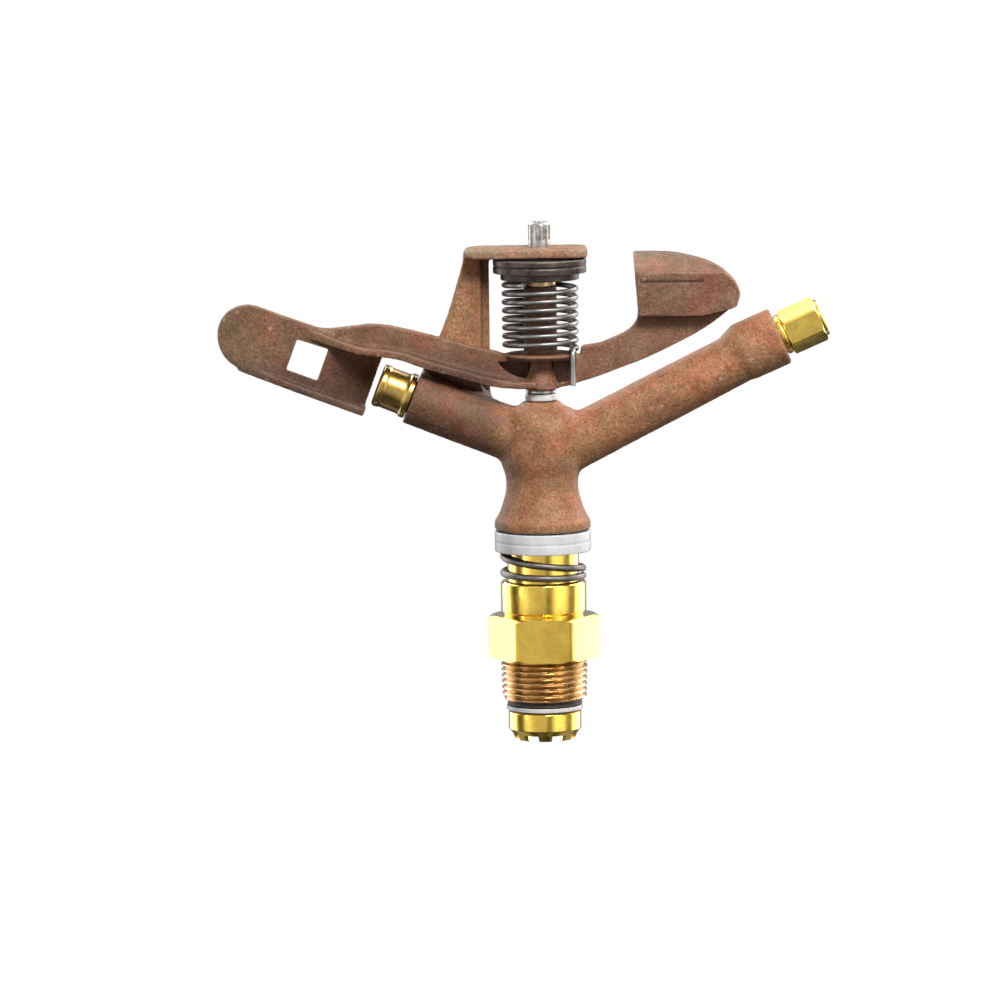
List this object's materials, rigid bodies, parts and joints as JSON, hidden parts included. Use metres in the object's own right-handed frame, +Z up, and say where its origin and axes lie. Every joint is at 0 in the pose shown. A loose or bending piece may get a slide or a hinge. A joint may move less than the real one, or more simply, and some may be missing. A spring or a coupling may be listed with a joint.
{
  "type": "impact sprinkler",
  "caption": "Two-nozzle impact sprinkler: hollow cast head on a spring-sealed bearing, with a spring-loaded swinging arm carrying a spoon and a counterweight, on a male pipe thread.",
  "frame": {"origin": "on the rotation axis, in the plane of the hexagon's lower shoulder, where the male thread begins", "axes": "+Z up along the rotation axis; +X towards the range barrel; -Y is the side the arm's spoon swings out to"},
  "size_m": [0.188, 0.03, 0.1592],
  "materials": {
    "brass": "turned and lightly polished",
    "cast_bronze": "sand cast, brown and grainy",
    "bushing_bronze": "machined",
    "steel": "machined",
    "spring_steel": "drawn wire",
    "white_nylon": "moulded, slightly translucent",
    "black_rubber": "moulded"
  },
  "bodies": {
    "base": {"bearing_nipple": "brass", "lower_seal_washer": "black_rubber", "seal_spring": "spring_steel"},
    "guard": {"sand_guard": "white_nylon", "guard_slip_washer": "white_nylon"},
    "head": {"body_casting": "cast_bronze", "bearing_tube": "brass", "guard_steel_washer": "steel", "lower_slip_washer": "white_nylon", "range_nozzle": "brass", "spreader_nozzle": "brass", "straightening_vane": "brass", "fulcrum_pin": "steel", "spring_cap": "steel", "arm_friction_washer": "white_nylon"},
    "arm": {"drive_arm": "cast_bronze", "upper_arm_bushing": "bushing_bronze", "lower_arm_bushing": "bushing_bronze", "arm_steel_washer": "steel", "arm_spring": "spring_steel"}
  },
  "joints": [
    {"name": "bearing_press", "type": "slide", "parent": "base", "child": "guard", "axis": [0, 0, 1], "range_m": [-0.003, 0], "stiffness_N_per_m": 4000, "springref_m": 0.006, "deforming": ["seal_spring"]},
    {"name": "head_spin", "type": "hinge", "parent": "guard", "child": "head", "pos_m": [0, 0, 0.04], "axis": [0, 0, 1], "continuous": true},
    {"name": "arm_swing", "type": "hinge", "parent": "head", "child": "arm", "pos_m": [0, 0, 0.095], "axis": [0, 0, 1], "range_deg": [0, 140], "stiffness_Nm_per_rad": 0.02, "springref_deg": -68.75}
  ]
}
